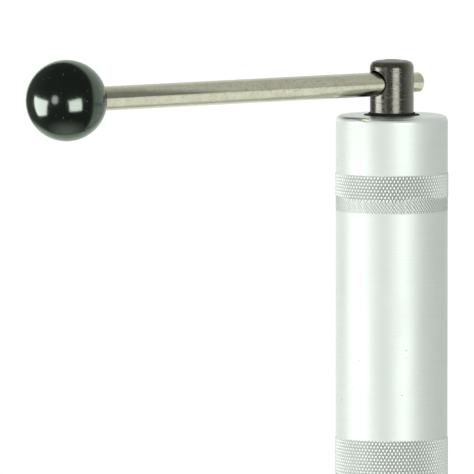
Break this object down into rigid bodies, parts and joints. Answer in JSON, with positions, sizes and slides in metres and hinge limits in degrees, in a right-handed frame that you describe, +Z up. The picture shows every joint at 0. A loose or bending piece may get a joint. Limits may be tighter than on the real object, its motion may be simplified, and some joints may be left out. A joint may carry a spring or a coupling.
{
  "type": "hand-cranked thread insert tool",
  "caption": "Hand-cranked insert tool: knurled aluminium body tube, cross-drilled spindle with steel crank rod and ball knob, screw-fed mandrel in a windowed nose.",
  "frame": {"origin": "on the tool's axis, at the end face of the nose that rests on the work", "axes": "+Z up the tool from the nose to the crank, -X along the crank rod towards the ball knob at rest, -Y out of the loading window"},
  "size_m": [0.2023, 0.0508, 0.2832],
  "materials": {
    "anodised_body": "turned and clear anodised, satin, with diamond-knurled bands",
    "anodised_ring": "turned and clear anodised, satin",
    "black_rubber": "moulded black rubber, matt",
    "bronze": "oil-filled sintered bronze",
    "ground_steel": "ground",
    "spring_steel": "phosphated spring steel",
    "black_oxide": "turned, black oxide, semi-gloss",
    "bright_steel": "cold-drawn bright steel, satin",
    "screw_steel": "black oxide",
    "black_knob": "moulded thermoset, high gloss",
    "turned_brass": "turned",
    "mandrel_steel": "hardened and oiled, thread ground",
    "nose_steel": "turned, black oxide, semi-gloss"
  },
  "bodies": {
    "barrel": {"body_tube": "anodised_body", "wiper_ring": "black_rubber", "upper_bush": "bronze", "lower_bush": "bronze", "thrust_washers": "ground_steel", "bush_circlip": "spring_steel", "feed_nut": "bronze", "nut_circlip": "spring_steel", "nut_lock_screw": "screw_steel", "nose_barrel": "nose_steel", "nose_lock_ring": "anodised_ring", "nose_lock_screw": "screw_steel", "squaring_foot": "anodised_ring", "foot_screws": "screw_steel"},
    "crank": {"spindle": "black_oxide", "crank_rod": "bright_steel", "rod_lock_screw": "screw_steel", "ball_knob": "black_knob", "knob_insert": "turned_brass"},
    "feed_mandrel": {"mandrel": "mandrel_steel", "drive_pin": "ground_steel"}
  },
  "joints": [
    {"name": "crank_turn", "type": "hinge", "parent": "barrel", "child": "crank", "pos_m": [0, 0, 0.2549], "axis": [0, 0, 1], "range_deg": [-8550, 0]},
    {"name": "mandrel_feed", "type": "slide", "parent": "crank", "child": "feed_mandrel", "axis": [0, 0, 1], "range_m": [-0.0604, 0]}
  ],
  "couplings": [
    {"joint": "mandrel_feed", "follows": "crank_turn", "m_per_rad": 0.00040425}
  ]
}
